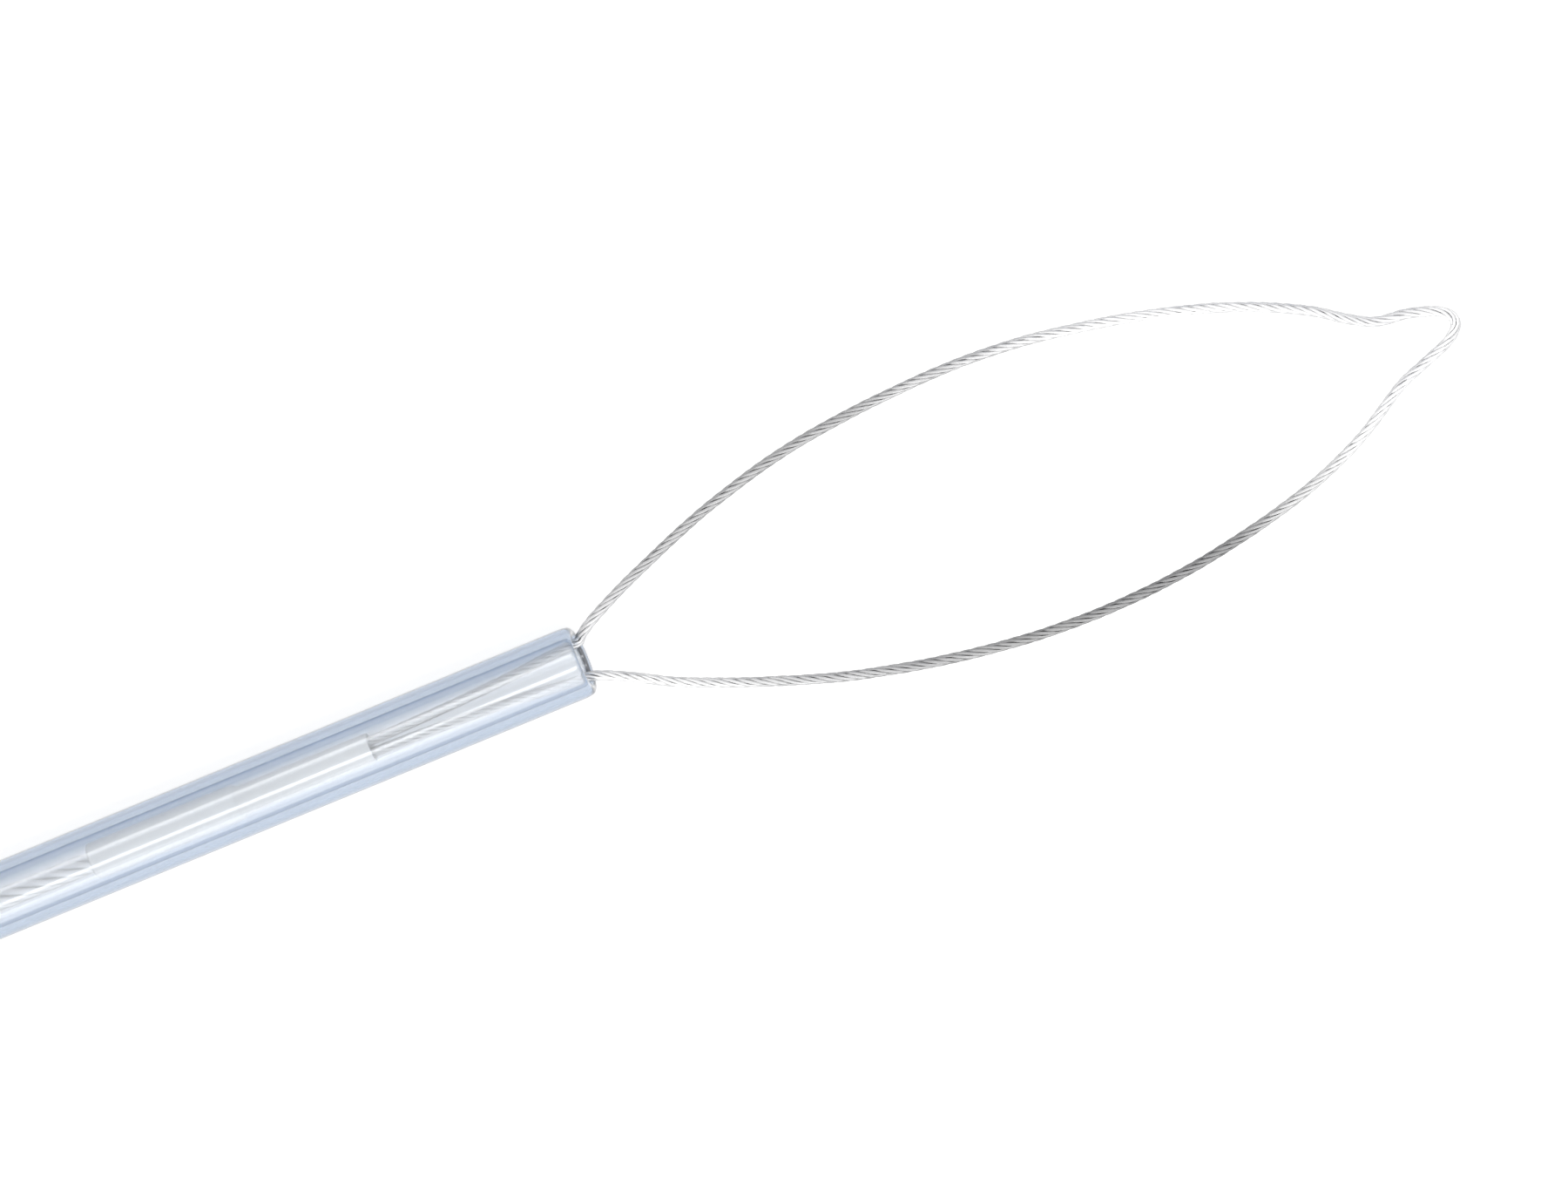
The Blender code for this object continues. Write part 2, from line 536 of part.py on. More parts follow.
for index in reversed(range(RELIEF_GROOVES)):
    groove_z = groove_start_z + groove_pitch * (index + 0.5)
    share = (groove_z - groove_start_z) / (RELIEF_LENGTH - groove_start_z)
    ridge_r = RELIEF_BASE_D / 2 * 0.86 * (1 - share) + relief_tip_r * share
    relief_profile.append((ridge_r, groove_z + groove_pitch * 0.22, 0.00015))
    relief_profile.append((ridge_r - RELIEF_TIP_WALL / 2, groove_z + groove_pitch * 0.18, 0.0))
    relief_profile.append((ridge_r - RELIEF_TIP_WALL / 2, groove_z - groove_pitch * 0.18, 0.0))
    relief_profile.append((ridge_r, groove_z - groove_pitch * 0.22, 0.00015))
relief_profile += [
    (RELIEF_BASE_D / 2 * 0.9, groove_start_z, 0.001), (RELIEF_BASE_D / 2, RELIEF_LENGTH * 0.1, 0.001),
    (RELIEF_BASE_D / 2, 0.0, 0.0004), (ferrule_seat_r, 0.0, 0.0),
    (ferrule_seat_r, relief_seat_z, 0.0), (sheath_bore_d / 2, relief_seat_z, 0.0),
]
strain_relief = turned("strain_relief", relief_profile, snare, relief_rubber, 24, True, 1)
along_x(strain_relief, relief_x, 0.0, axis_z)

# Sheath: the stretch that sinks from the nose, the coil and the straight open tip
lead_points = []
lead_end_x = coil_x - sqrt(coil_outer_r ** 2 - first_turn_r ** 2) - SHEATH_OD / 2 - 2 * FIT
lead_count = 6
for index in range(lead_count + 1):
    x = sheath_exit_x + (lead_end_x - sheath_exit_x) * index / lead_count
    t = (x - sheath_exit_x) / LEAD_RUN
    fall = t * t * (3 - 2 * t)
    lead_points.append((x, 0.0, axis_z + (high_z - axis_z) * fall))
sheath_lead = wire("sheath_lead", lead_points, SHEATH_OD, snare, lead_plastic)
sheath_coil = turned("sheath_coil", (
    (coil_inner_r, coil_height, 0.0011), (coil_outer_r, coil_height, 0.0011),
    (coil_outer_r, 0.0, 0.0011), (coil_inner_r, 0.0, 0.0011),
), snare, coil_plastic, 64, True, 2)
sheath_coil.location = (coil_x, coil_y, 0.0)
sheath_tip = pipe("sheath_tip", TIP_LENGTH, SHEATH_OD, SHEATH_ID, snare, sheath_plastic, 32, 0.0001)
along_x(sheath_tip, mouth_x, tip_y, low_z)

# Crimp sleeve, pressed to a slimmer neck over the loop's legs, and the cable's front end
crimp_bore_r = CABLE_D / 2 + SNUG
crimp_r = crimp_bore_r + CRIMP_WALL
crimp_neck_r = crimp_bore_r + CRIMP_NECK_WALL
crimp_step = crimp_r - crimp_neck_r
crimp_sleeve = turned("crimp_sleeve", (
    (crimp_bore_r, CRIMP_LENGTH, 0.0), (crimp_r, CRIMP_LENGTH, crimp_step / 2),
    (crimp_r, CRIMP_NECK_LENGTH + crimp_step, crimp_step / 2), (crimp_neck_r, CRIMP_NECK_LENGTH, 0.0),
    (crimp_neck_r, 0.0, 0.0), (crimp_bore_r, 0.0, 0.0),
), snare, crimp_steel, 24, True, 1)
along_x(crimp_sleeve, mouth_x + CRIMP_SETBACK, tip_y, low_z)
cable_front_x = mouth_x + CRIMP_SETBACK + CRIMP_LENGTH - SEAT_DEPTH
cable_distal = pipe("cable_distal", CABLE_RUN + SEAT_DEPTH, CABLE_D, CABLE_D / 4, snare, cable_steel,
                    12, 0.0)
along_x(cable_distal, cable_front_x, tip_y, low_z)

# Loop: one wire, both legs seated in the crimp, with a blunt nose at the far end
leg_side = WIRE_D / 2 + SNUG / 2
leg_seat_x = mouth_x + CRIMP_SETBACK + SEAT_DEPTH
leg_exit_x = mouth_x + CRIMP_SETBACK
leg_bend_x = mouth_x + CRIMP_SETBACK * 0.45
mouth_side = SHEATH_ID / 2 - WIRE_D / 2 - 3 * SNUG
lower_leg = [(mouth_x, mouth_side), (mouth_x + MOUTH_RUN, mouth_side * 0.93),
             (leg_bend_x, mouth_side * 0.55), (leg_exit_x, leg_side), (leg_seat_x, leg_side)]
upper_leg = [(x, -y) for x, y in reversed(lower_leg)]
bow = [(mouth_x - LOOP_LENGTH * s, LOOP_WIDTH * d) for s, d in LOOP_OUTLINE]
loop_plan = smooth_through([(x, tip_y + y, low_z) for x, y in (*upper_leg, *bow, *lower_leg)], 2)
loop_wire = wire("loop_wire", loop_plan, WIRE_D, snare, loop_steel)
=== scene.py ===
from math import atan2, cos, pi, radians, sin

import bmesh
import bpy
from mathutils import Matrix, Vector


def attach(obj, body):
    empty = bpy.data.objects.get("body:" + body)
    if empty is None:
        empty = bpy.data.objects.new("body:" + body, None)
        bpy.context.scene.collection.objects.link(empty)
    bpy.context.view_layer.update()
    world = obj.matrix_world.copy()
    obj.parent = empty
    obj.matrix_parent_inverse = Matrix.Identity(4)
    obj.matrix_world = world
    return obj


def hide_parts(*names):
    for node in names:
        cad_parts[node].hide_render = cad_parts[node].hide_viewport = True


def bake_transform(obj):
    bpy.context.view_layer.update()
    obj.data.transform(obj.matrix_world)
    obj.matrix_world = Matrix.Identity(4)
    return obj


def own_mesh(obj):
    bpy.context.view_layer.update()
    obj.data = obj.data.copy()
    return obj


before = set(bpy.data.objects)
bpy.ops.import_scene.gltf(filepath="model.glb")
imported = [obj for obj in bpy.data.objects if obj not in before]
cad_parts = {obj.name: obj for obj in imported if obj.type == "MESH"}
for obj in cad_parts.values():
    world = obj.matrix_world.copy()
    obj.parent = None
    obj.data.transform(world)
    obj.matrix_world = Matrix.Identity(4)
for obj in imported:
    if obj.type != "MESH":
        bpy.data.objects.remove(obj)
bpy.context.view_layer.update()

# Camera. A long lens looks down on the loop, leaning a little toward its far end, and is rolled so
# that the sheath rises to the right at the photo's angle.
MOUTH = Vector((0.007676, 0.07891, 0.0012))
OUTWARD = Vector((-1.0, 0.0, 0.0))
LEAN = radians(8.0)
ROLL = radians(22.38)
LENS = 200.0
SENSOR = 36.0
CLIP_START = 0.01
VIEW_WIDTH = 0.0500
AIM_PAST_MOUTH = 0.0068
AIM_ASIDE = -0.000356
toward = Vector((-sin(LEAN), 0.0, cos(LEAN)))
along = (OUTWARD - toward * OUTWARD.dot(toward)).normalized()
across = toward.cross(along)
rightward = along * cos(ROLL) - across * sin(ROLL)
upward = along * sin(ROLL) + across * cos(ROLL)
aim = MOUTH + OUTWARD * AIM_PAST_MOUTH + across * AIM_ASIDE
camera_data = bpy.data.cameras.new("camera")
camera_data.lens = LENS
camera_data.sensor_width = SENSOR
camera_data.clip_start = CLIP_START
camera = bpy.data.objects.new("camera", camera_data)
placing = Matrix((rightward, upward, toward)).transposed().to_4x4()
placing.translation = aim + toward * VIEW_WIDTH * LENS / SENSOR
camera.matrix_world = placing
bpy.context.scene.collection.objects.link(camera)
bpy.context.scene.camera = camera

# Sheath: 2.3 m of extruded pale-blue fluoropolymer tube. It sinks from the strain relief onto its
# own coil, four and a half turns inward on the upper row and six outward on the lower one, and
# runs straight along the table to its open, rounded mouth.
SHEATH_OD = 0.0024
SHEATH_WALL = 0.00035
SHEATH_ROUNDNESS = 12
SHEATH_TINT = (0.90, 0.945, 1.0)
BLUER_TINT, PALER_TINT = (0.93, 0.95, 0.975), (0.975, 0.985, 0.995)
SHEATH_TRANSMISSION = 0.85
SHEATH_IOR, SHEATH_COAT_IOR = 1.30, 1.75
SHEATH_ROUGHNESS, SHEATH_COAT_ROUGHNESS = 0.10, 0.12
HAZE = (0.07, 0.16)
HAZE_SCALE, TINT_SCALE = 260.0, 90.0
WALL_TINT = (0.25, 0.42, 0.62, 1.0)
WALL_DENSITY = 150.0
SLANT_BLEND = 0.5
# Painted shade on the wall's sides, where the view slants across it.
SIDE_SHADE_TINT = (0.52, 0.62, 0.77)
SIDE_START, SIDE_END = 0.07, 0.36
# Painted shade: a dark line along the wall's very edge.
RIM_SHADE = (0.10, 0.11, 0.13)
RIM_START, RIM_END = 0.66, 0.82
DIE_LINES = (40.0, 26.0, 1.0)
DIE_LINE_STRENGTH, DIE_LINE_DEPTH = 0.06, 0.00003
MOUTH_ROUNDING, MOUTH_SEGMENTS = 0.00017, 4
MOUTH_FORM = ((0.00044, 1.0), (0.00032, 0.994), (0.00019, 0.972), (0.0, 0.905))
CLEAR_RIM = 0.00009
BORE_SHADE = (0.16, 0.17, 0.19)
SHADE_TRANSMISSION = 0.1
SHADE_BEGINS, SHADE_FULL, SHADE_FADES, SHADE_ENDS = 0.00008, 0.00012, 0.00022, 0.00030
SHADE_FLOOR, SHADE_SIDE, SHADE_EDGE = 0.00045, 0.00030, 0.00010
EXIT_X, AXIS_Z = 0.0659, 0.009
COIL_X, COIL_Y, COIL_R = 0.1019, 0.038518, 0.032893
TURN_PITCH = 0.0025
LOW_Z, HIGH_Z = 0.0012, 0.00365
UPPER_TURNS, LOWER_TURNS = 4.5, 6.0
TUCK_TURN, TUCK_PITCHES = 0.25, 0.75
STEPS_A_TURN = 60
LEAD_STEPS = 18
TIP_STEPS = 60
SHARP_ANGLE = radians(60.0)
MERGE_SHARE = 0.001


def ease(t):
    """A share from 0 to 1, with a soft start and a soft end."""
    t = min(1.0, max(0.0, t))
    return t * t * (3 - 2 * t)


def coil_point(turn, radius, z):
    """A point of the coil, counted in turns from where the sheath comes onto it."""
    angle = 2 * pi * turn - pi / 2
    return Vector((COIL_X + radius * cos(angle), COIL_Y + radius * sin(angle), z))


route = []
for step in range(LEAD_STEPS):
    t = step / LEAD_STEPS
    z = AXIS_Z + (HIGH_Z - AXIS_Z) * ease(t)
    route.append(Vector((EXIT_X + (COIL_X - EXIT_X) * t, 0.0, z)))
for step in range(int(UPPER_TURNS * STEPS_A_TURN)):
    turn = step / STEPS_A_TURN
    tuck = TUCK_PITCHES * ease((turn - UPPER_TURNS) / TUCK_TURN + 1)
    radius = COIL_R + (UPPER_TURNS / 2 - turn - tuck) * TURN_PITCH
    route.append(coil_point(turn, radius, HIGH_Z))
for step in range(int(LOWER_TURNS * STEPS_A_TURN) + 1):
    turn = step / STEPS_A_TURN
    radius = COIL_R + (turn - LOWER_TURNS / 2) * TURN_PITCH
    z = HIGH_Z + (LOW_Z - HIGH_Z) * ease(turn / TUCK_TURN)
    route.append(coil_point(turn + UPPER_TURNS, radius, z))
coil_end = len(route) - 1
for step in range(1, TIP_STEPS + 1):
    route.append(route[coil_end].lerp(MOUTH, step / TIP_STEPS))


def swept(name, lines, radius, roundness, closed=True, end_shares=()):
    """Round bars along lines, as one mesh with a UV along and around each bar.

    The end shares are the shares of the radius at each line's last points."""
    curve = bpy.data.curves.new(name, 'CURVE')
    curve.dimensions = '3D'
    curve.bevel_depth = radius
    curve.bevel_resolution = roundness
    curve.use_fill_caps = closed
    for line in lines:
        spline = curve.splines.new('POLY')
        spline.points.add(len(line) - 1)
        for slot, point in zip(spline.points, line):
            slot.co = (*point, 1.0)
        for back, share in enumerate(reversed(end_shares), 1):
            spline.points[len(line) - back].radius = share
    holder = bpy.data.objects.new(name + "_line", curve)
    bpy.context.scene.collection.objects.link(holder)
    bpy.context.view_layer.update()
    swept_form = holder.evaluated_get(bpy.context.evaluated_depsgraph_get())
    mesh = bpy.data.meshes.new_from_object(swept_form)
    bpy.data.objects.remove(holder)
    mesh.name = name
    form = bmesh.new()
    form.from_mesh(mesh)
    bmesh.ops.remove_doubles(form, verts=form.verts, dist=radius * MERGE_SHARE)
    bmesh.ops.recalc_face_normals(form, faces=form.faces)
    for face in form.faces:
        face.smooth = True
    form.to_mesh(mesh)
    form.free()
    mesh.set_sharp_from_angle(angle=SHARP_ANGLE)
    made = bpy.data.objects.new(name, mesh)
    bpy.context.scene.collection.objects.link(made)
    return made


class Finish:
    """A node material: a Principled shader with helpers for the nodes that feed it."""

    def __init__(self, name, colour, roughness, metallic=0.0):
        self.material = bpy.data.materials.new(name)
        self.material.use_nodes = True
        self.tree = self.material.node_tree
        self.shader = self.tree.nodes["Principled BSDF"]
        self.output = self.tree.nodes["Material Output"]
        self.shader.inputs["Base Color"].default_value = (*colour[:3], 1.0)
        self.shader.inputs["Roughness"].default_value = roughness
        self.shader.inputs["Metallic"].default_value = metallic
        self.place = self.tree.nodes.new("ShaderNodeTexCoord")

    def link(self, source, target):
        """One node's output joined to another's input."""
        self.tree.links.new(source, target)

    def spread(self, scale, space="Object"):
        """The place on the piece, stretched by a scale on each axis."""
        mapping = self.tree.nodes.new("ShaderNodeMapping")
        mapping.inputs["Scale"].default_value = scale
        self.link(self.place.outputs[space], mapping.inputs["Vector"])
        return mapping.outputs["Vector"]

    def noise(self, scale, detail=3.0, stretch=(1.0, 1.0, 1.0), space="Object"):
        """Soft random values over the piece."""
        texture = self.tree.nodes.new("ShaderNodeTexNoise")
        texture.inputs["Scale"].default_value = scale
        texture.inputs["Detail"].default_value = detail
        self.link(self.spread(stretch, space), texture.inputs["Vector"])
        return texture.outputs["Fac"]

    def ranged(self, value, low, high, start=0.35, end=0.65):
        """A value between start and end turned into one between low and high."""
        fit = self.tree.nodes.new("ShaderNodeMapRange")
        fit.inputs["From Min"].default_value = start
        fit.inputs["From Max"].default_value = end
        fit.inputs["To Min"].default_value = low
        fit.inputs["To Max"].default_value = high
        self.link(value, fit.inputs["Value"])
        return fit.outputs["Result"]

    def product(self, *values):
        """Values multiplied with one another."""
        result = values[0]
        for value in values[1:]:
            times = self.tree.nodes.new("ShaderNodeMath")
            times.operation = 'MULTIPLY'
            self.link(result, times.inputs[0])
            self.link(value, times.inputs[1])
            result = times.outputs["Value"]
        return result

    def mix(self, share, first, second, blend='MIX'):
        """Two colours mixed; each is a colour or another node's output."""
        mixer = self.tree.nodes.new("ShaderNodeMix")
        mixer.data_type = 'RGBA'
        mixer.blend_type = blend
        self.link(share, mixer.inputs["Factor"])
        for name, colour in (("A", first), ("B", second)):
            socket = [i for i in mixer.inputs if i.name == name and i.type == 'RGBA'][0]
            if isinstance(colour, tuple):
                socket.default_value = (*colour[:3], 1.0)
            else:
                self.link(colour, socket)
        return [o for o in mixer.outputs if o.type == 'RGBA'][0]

    def bump(self, height, strength, distance):
        """Fine relief from a height, as deep as the distance at most."""
        relief = self.tree.nodes.new("ShaderNodeBump")
        relief.inputs["Strength"].default_value = strength
        relief.inputs["Distance"].default_value = distance
        self.link(height, relief.inputs["Height"])
        self.link(relief.outputs["Normal"], self.shader.inputs["Normal"])

    def dress(self, piece):
        """The material put on a piece."""
        piece.data.materials.clear()
        piece.data.materials.append(self.material)


formed_mouth = [MOUTH - OUTWARD * inward for inward, share in MOUTH_FORM]
sheath = swept("sheath", [route[:-1] + formed_mouth], SHEATH_OD / 2, SHEATH_ROUNDNESS, False,
               [share for inward, share in MOUTH_FORM])
wall = sheath.modifiers.new("wall", 'SOLIDIFY')
wall.thickness = SHEATH_WALL
wall.offset = -1.0
wall.use_rim = True
rounding = sheath.modifiers.new("rounded_rim", 'BEVEL')
rounding.width = MOUTH_ROUNDING
rounding.segments = MOUTH_SEGMENTS
rounding.limit_method = 'ANGLE'
rounding.angle_limit = SHARP_ANGLE

sheath_finish = Finish("sheath_fluoropolymer", SHEATH_TINT, SHEATH_ROUGHNESS)
sheath_finish.shader.inputs["IOR"].default_value = SHEATH_IOR
sheath_finish.shader.inputs["Transmission Weight"].default_value = SHEATH_TRANSMISSION
sheath_finish.shader.inputs["Coat Weight"].default_value = 1.0
sheath_finish.shader.inputs["Coat IOR"].default_value = SHEATH_COAT_IOR
sheath_finish.shader.inputs["Coat Roughness"].default_value = SHEATH_COAT_ROUGHNESS
haze = sheath_finish.noise(HAZE_SCALE, 2.0)
sheath_finish.link(sheath_finish.ranged(haze, *HAZE), sheath_finish.shader.inputs["Roughness"])
tint = sheath_finish.mix(sheath_finish.noise(TINT_SCALE, 2.0), BLUER_TINT, PALER_TINT)

# Painted shade: the wall is deeper in colour at its sides and dark at its very edge. The cut end
# is clear.
slant = sheath_finish.tree.nodes.new("ShaderNodeLayerWeight")
slant.inputs["Blend"].default_value = SLANT_BLEND
at_side = sheath_finish.ranged(slant.outputs["Facing"], 0.0, 1.0, SIDE_START, SIDE_END)
tint = sheath_finish.mix(at_side, tint, SIDE_SHADE_TINT)
apart = sheath_finish.tree.nodes.new("ShaderNodeSeparateXYZ")
sheath_finish.link(sheath_finish.place.outputs["Object"], apart.inputs["Vector"])
clear = sheath_finish.ranged(apart.outputs["X"], 1.0, 0.0,
                             MOUTH.x + CLEAR_RIM / 2, MOUTH.x + CLEAR_RIM)
tint = sheath_finish.mix(clear, tint, (1.0, 1.0, 1.0))
# Painted shade: the dark line at the wall's very edge.
at_rim = sheath_finish.ranged(slant.outputs["Facing"], 0.0, 1.0, RIM_START, RIM_END)
tint = sheath_finish.mix(at_rim, tint, RIM_SHADE)

# The floor of the bore has a band of shade just inside the mouth.
from_axis = sheath_finish.tree.nodes.new("ShaderNodeVectorMath")
from_axis.operation = 'DISTANCE'
from_axis.inputs[1].default_value = (0.0, MOUTH.y, MOUTH.z)
sheath_finish.link(sheath_finish.spread((0.0, 1.0, 1.0)), from_axis.inputs[0])
bore_radius = SHEATH_OD / 2 - SHEATH_WALL
shade = sheath_finish.product(
    sheath_finish.ranged(from_axis.outputs["Value"], 1.0, 0.0, bore_radius, bore_radius + SHADE_EDGE),
    sheath_finish.ranged(apart.outputs["Z"], 1.0, 0.0, MOUTH.z - SHADE_FLOOR, MOUTH.z - SHADE_SIDE),
    sheath_finish.ranged(apart.outputs["X"], 0.0, 1.0, MOUTH.x + SHADE_BEGINS, MOUTH.x + SHADE_FULL),
    sheath_finish.ranged(apart.outputs["X"], 1.0, 0.0, MOUTH.x + SHADE_FADES, MOUTH.x + SHADE_ENDS))
tint = sheath_finish.mix(shade, tint, BORE_SHADE)
sheath_finish.link(tint, sheath_finish.shader.inputs["Base Color"])
passed = sheath_finish.ranged(shade, SHEATH_TRANSMISSION, SHADE_TRANSMISSION, 0.0, 1.0)
sheath_finish.link(passed, sheath_finish.shader.inputs["Transmission Weight"])
die_lines = sheath_finish.noise(1.0, 2.0, DIE_LINES, "UV")
sheath_finish.bump(die_lines, DIE_LINE_STRENGTH, DIE_LINE_DEPTH)
tinted_wall = sheath_finish.tree.nodes.new("ShaderNodeVolumeAbsorption")
tinted_wall.inputs["Color"].default_value = WALL_TINT
tinted_wall.inputs["Density"].default_value = WALL_DENSITY
sheath_finish.link(tinted_wall.outputs["Volume"], sheath_finish.output.inputs["Volume"])
sheath_finish.dress(sheath)
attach(sheath, "handle")
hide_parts("sheath_lead", "sheath_coil", "sheath_tip")

# Loop: one length of fine stainless strand, six wires laid around a core, shaped by hand with a
# blunt nose at its far end. Both legs run back through the mouth into the crimp, and the wire's
# grey is painted lighter and darker along its length, as painted highlights and painted reflections.
WIRE_D = 0.00034
LAY_LENGTH = 0.0024
LOOP_LENGTH = 0.0298
LOOP_WIDTH = 0.0090
CRIMP_SETBACK = 0.0075
LEG_SEAT = 0.004
LEG_SIDE = 0.000185
LEG_BEND, LEG_BEND_SIDE = 0.45, 0.55
MOUTH_SIDE = 0.00059
MOUTH_RUN, MOUTH_RUN_SIDE = 0.0006, 0.93
LOOP_STRANDS = 6
STRAND_STEP = 0.00013
STRAND_FIT = 0.52
STRAND_ROUNDNESS = 1
CURVE_STEPS = 12
LOOP_GREY = (0.40, 0.40, 0.41)
LOOP_ROUGHNESS, LOOP_WEAR = 0.45, (0.38, 0.55)
LOOP_STAIN = (0.80, 0.80, 0.81)
WEAR_SCALE, STAIN_SCALE = 420.0, 150.0

# Greys of painted highlight and painted reflection, each after its share of the way along the wire.
PAINTED_REFLECTION_GREYS = (
    (0.0, 0.78), (1.0, 0.78), (0.135, 0.70), (0.18, 0.46), (0.27, 0.44), (0.32, 0.62), (0.38, 0.82),
    (0.54, 0.84), (0.585, 0.58), (0.62, 0.31), (0.70, 0.34), (0.77, 0.54), (0.84, 0.74), (0.87, 0.74),
)

# The loop's outline: shares of its length from the mouth and of its width from the middle.
LOOP_OUTLINE = (
    (0.007, -0.086), (0.031, -0.132), (0.095, -0.223), (0.192, -0.337), (0.302, -0.421),
    (0.432, -0.460), (0.540, -0.456), (0.640, -0.409), (0.729, -0.340), (0.799, -0.261),
    (0.858, -0.168), (0.897, -0.081), (0.923, -0.036), (0.955, -0.022), (0.984, 0.008),
    (0.998, 0.042), (0.999, 0.082), (0.984, 0.124), (0.950, 0.166), (0.919, 0.207),
    (0.860, 0.321), (0.790, 0.414), (0.699, 0.487), (0.600, 0.532), (0.491, 0.538),
    (0.381, 0.500), (0.271, 0.424), (0.180, 0.328), (0.091, 0.212), (0.033, 0.111),
)


def smooth_line(points, steps):
    """A smooth line through given points, with steps between each two."""
    ends = [points[0], *points, points[-1]]
    line = []
    for index in range(len(points) - 1):
        p0, p1, p2, p3 = (Vector(ends[index + k]) for k in range(4))
        for step in range(steps):
            t = step / steps
            line.append((2 * p1 + (p2 - p0) * t + (2 * p0 - 5 * p1 + 4 * p2 - p3) * t ** 2
                         + (3 * p1 - p0 - 3 * p2 + p3) * t ** 3) / 2)
    line.append(Vector(points[-1]))
    return line


def even_line(line, gap):
    """The same line with points an even distance apart."""
    run = [0.0]
    for a, b in zip(line, line[1:]):
        run.append(run[-1] + (b - a).length)
    count = max(2, round(run[-1] / gap))
    result = []
    index = 0
    for step in range(count + 1):
        wanted = run[-1] * step / count
        while index < len(run) - 2 and run[index + 1] < wanted:
            index += 1
        span = run[index + 1] - run[index]
        result.append(line[index].lerp(line[index + 1], (wanted - run[index]) / span))
    return result


def laid_strands(line, gap, count, laid_radius, lay):
    """Lines of strands wound around a core line, a full turn in each lay."""
    core = even_line(line, gap)
    strands = [[] for _ in range(count)]
    for index, point in enumerate(core):
        ahead = core[min(index + 1, len(core) - 1)] - core[max(index - 1, 0)]
        side = Vector((0.0, 0.0, 1.0)).cross(ahead).normalized()
        over = ahead.cross(side).normalized()
        for strand in range(count):
            angle = 2 * pi * (index * gap / lay + strand / count)
            strands[strand].append(point + (side * cos(angle) + over * sin(angle)) * laid_radius)
    return strands


leg = [
    (MOUTH.x, MOUTH_SIDE), (MOUTH.x + MOUTH_RUN, MOUTH_SIDE * MOUTH_RUN_SIDE),
    (MOUTH.x + CRIMP_SETBACK * LEG_BEND, MOUTH_SIDE * LEG_BEND_SIDE),
    (MOUTH.x + CRIMP_SETBACK, LEG_SIDE), (MOUTH.x + CRIMP_SETBACK + LEG_SEAT, LEG_SIDE),
]
loop_points = [(x, -y) for x, y in reversed(leg)]
loop_points += [(MOUTH.x - LOOP_LENGTH * s, LOOP_WIDTH * d) for s, d in LOOP_OUTLINE]
loop_points += leg
loop_line = smooth_line([(x, MOUTH.y + y, MOUTH.z) for x, y in loop_points], CURVE_STEPS)
strand_d = WIRE_D / 3
loop_strands = laid_strands(loop_line, STRAND_STEP, LOOP_STRANDS, strand_d, LAY_LENGTH)
loop_core = even_line(loop_line, 2 * STRAND_STEP)
loop_wire = swept("loop_strand", [*loop_strands, loop_core], strand_d * STRAND_FIT,
                  STRAND_ROUNDNESS)

loop_finish = Finish("loop_stainless", LOOP_GREY, LOOP_ROUGHNESS, 1.0)
worn = loop_finish.noise(WEAR_SCALE)
loop_finish.link(loop_finish.ranged(worn, *LOOP_WEAR), loop_finish.shader.inputs["Roughness"])
run = loop_finish.tree.nodes.new("ShaderNodeSeparateXYZ")
loop_finish.link(loop_finish.place.outputs["UV"], run.inputs["Vector"])
# Painted highlights and painted reflections: lighter and darker greys along the wire.
painted_reflection = loop_finish.tree.nodes.new("ShaderNodeValToRGB")
loop_finish.link(run.outputs["X"], painted_reflection.inputs["Fac"])
for index, (spot, grey) in enumerate(PAINTED_REFLECTION_GREYS):
    stop = painted_reflection.color_ramp.elements[index] if index < 2 else painted_reflection.color_ramp.elements.new(spot)
    stop.position = spot
    stop.color = (grey, grey, grey, 1.0)
stain = loop_finish.ranged(loop_finish.noise(STAIN_SCALE, 2.0), 0.0, 1.0)
steel = loop_finish.mix(stain, painted_reflection.outputs["Color"], LOOP_STAIN, 'MULTIPLY')
loop_finish.link(steel, loop_finish.shader.inputs["Base Color"])
loop_finish.dress(loop_wire)
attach(loop_wire, "loop")
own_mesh(loop_wire)
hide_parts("loop_wire")

# Crimp: a drawn stainless sleeve, pressed to a slimmer neck over the loop's legs and onto the drive
# cable behind them. It has a brushed, slightly milky finish.
CRIMP_COLOUR = (0.98, 0.96, 0.91)
CRIMP_DARK, CRIMP_LIGHT = (0.97, 0.95, 0.91), (1.0, 0.985, 0.95)
CRIMP_ROUGHNESS, CRIMP_BRUSHED = 0.5, (0.48, 0.62)
CRIMP_METALLIC = 0.1
CRIMP_MOTTLE = 500.0
CRIMP_MARKS = (400.0, 9000.0, 9000.0)
CRIMP_MARK_STRENGTH = 0.2
MARK_DEPTH = 0.00001
MERGE_DISTANCE = 0.000002
FLAT_ANGLE = radians(1.0)
SMOOTH_ANGLE = 38.0
EDGE_SEGMENTS = 2
crimp_finish = Finish("crimp_stainless", CRIMP_COLOUR, CRIMP_ROUGHNESS, CRIMP_METALLIC)
crimp_marks = crimp_finish.noise(1.0, stretch=CRIMP_MARKS)
crimp_finish.link(crimp_finish.ranged(crimp_marks, *CRIMP_BRUSHED),
                  crimp_finish.shader.inputs["Roughness"])
crimp_tone = crimp_finish.mix(crimp_finish.noise(CRIMP_MOTTLE), CRIMP_DARK, CRIMP_LIGHT)
crimp_finish.link(crimp_tone, crimp_finish.shader.inputs["Base Color"])
crimp_finish.bump(crimp_marks, CRIMP_MARK_STRENGTH, MARK_DEPTH)


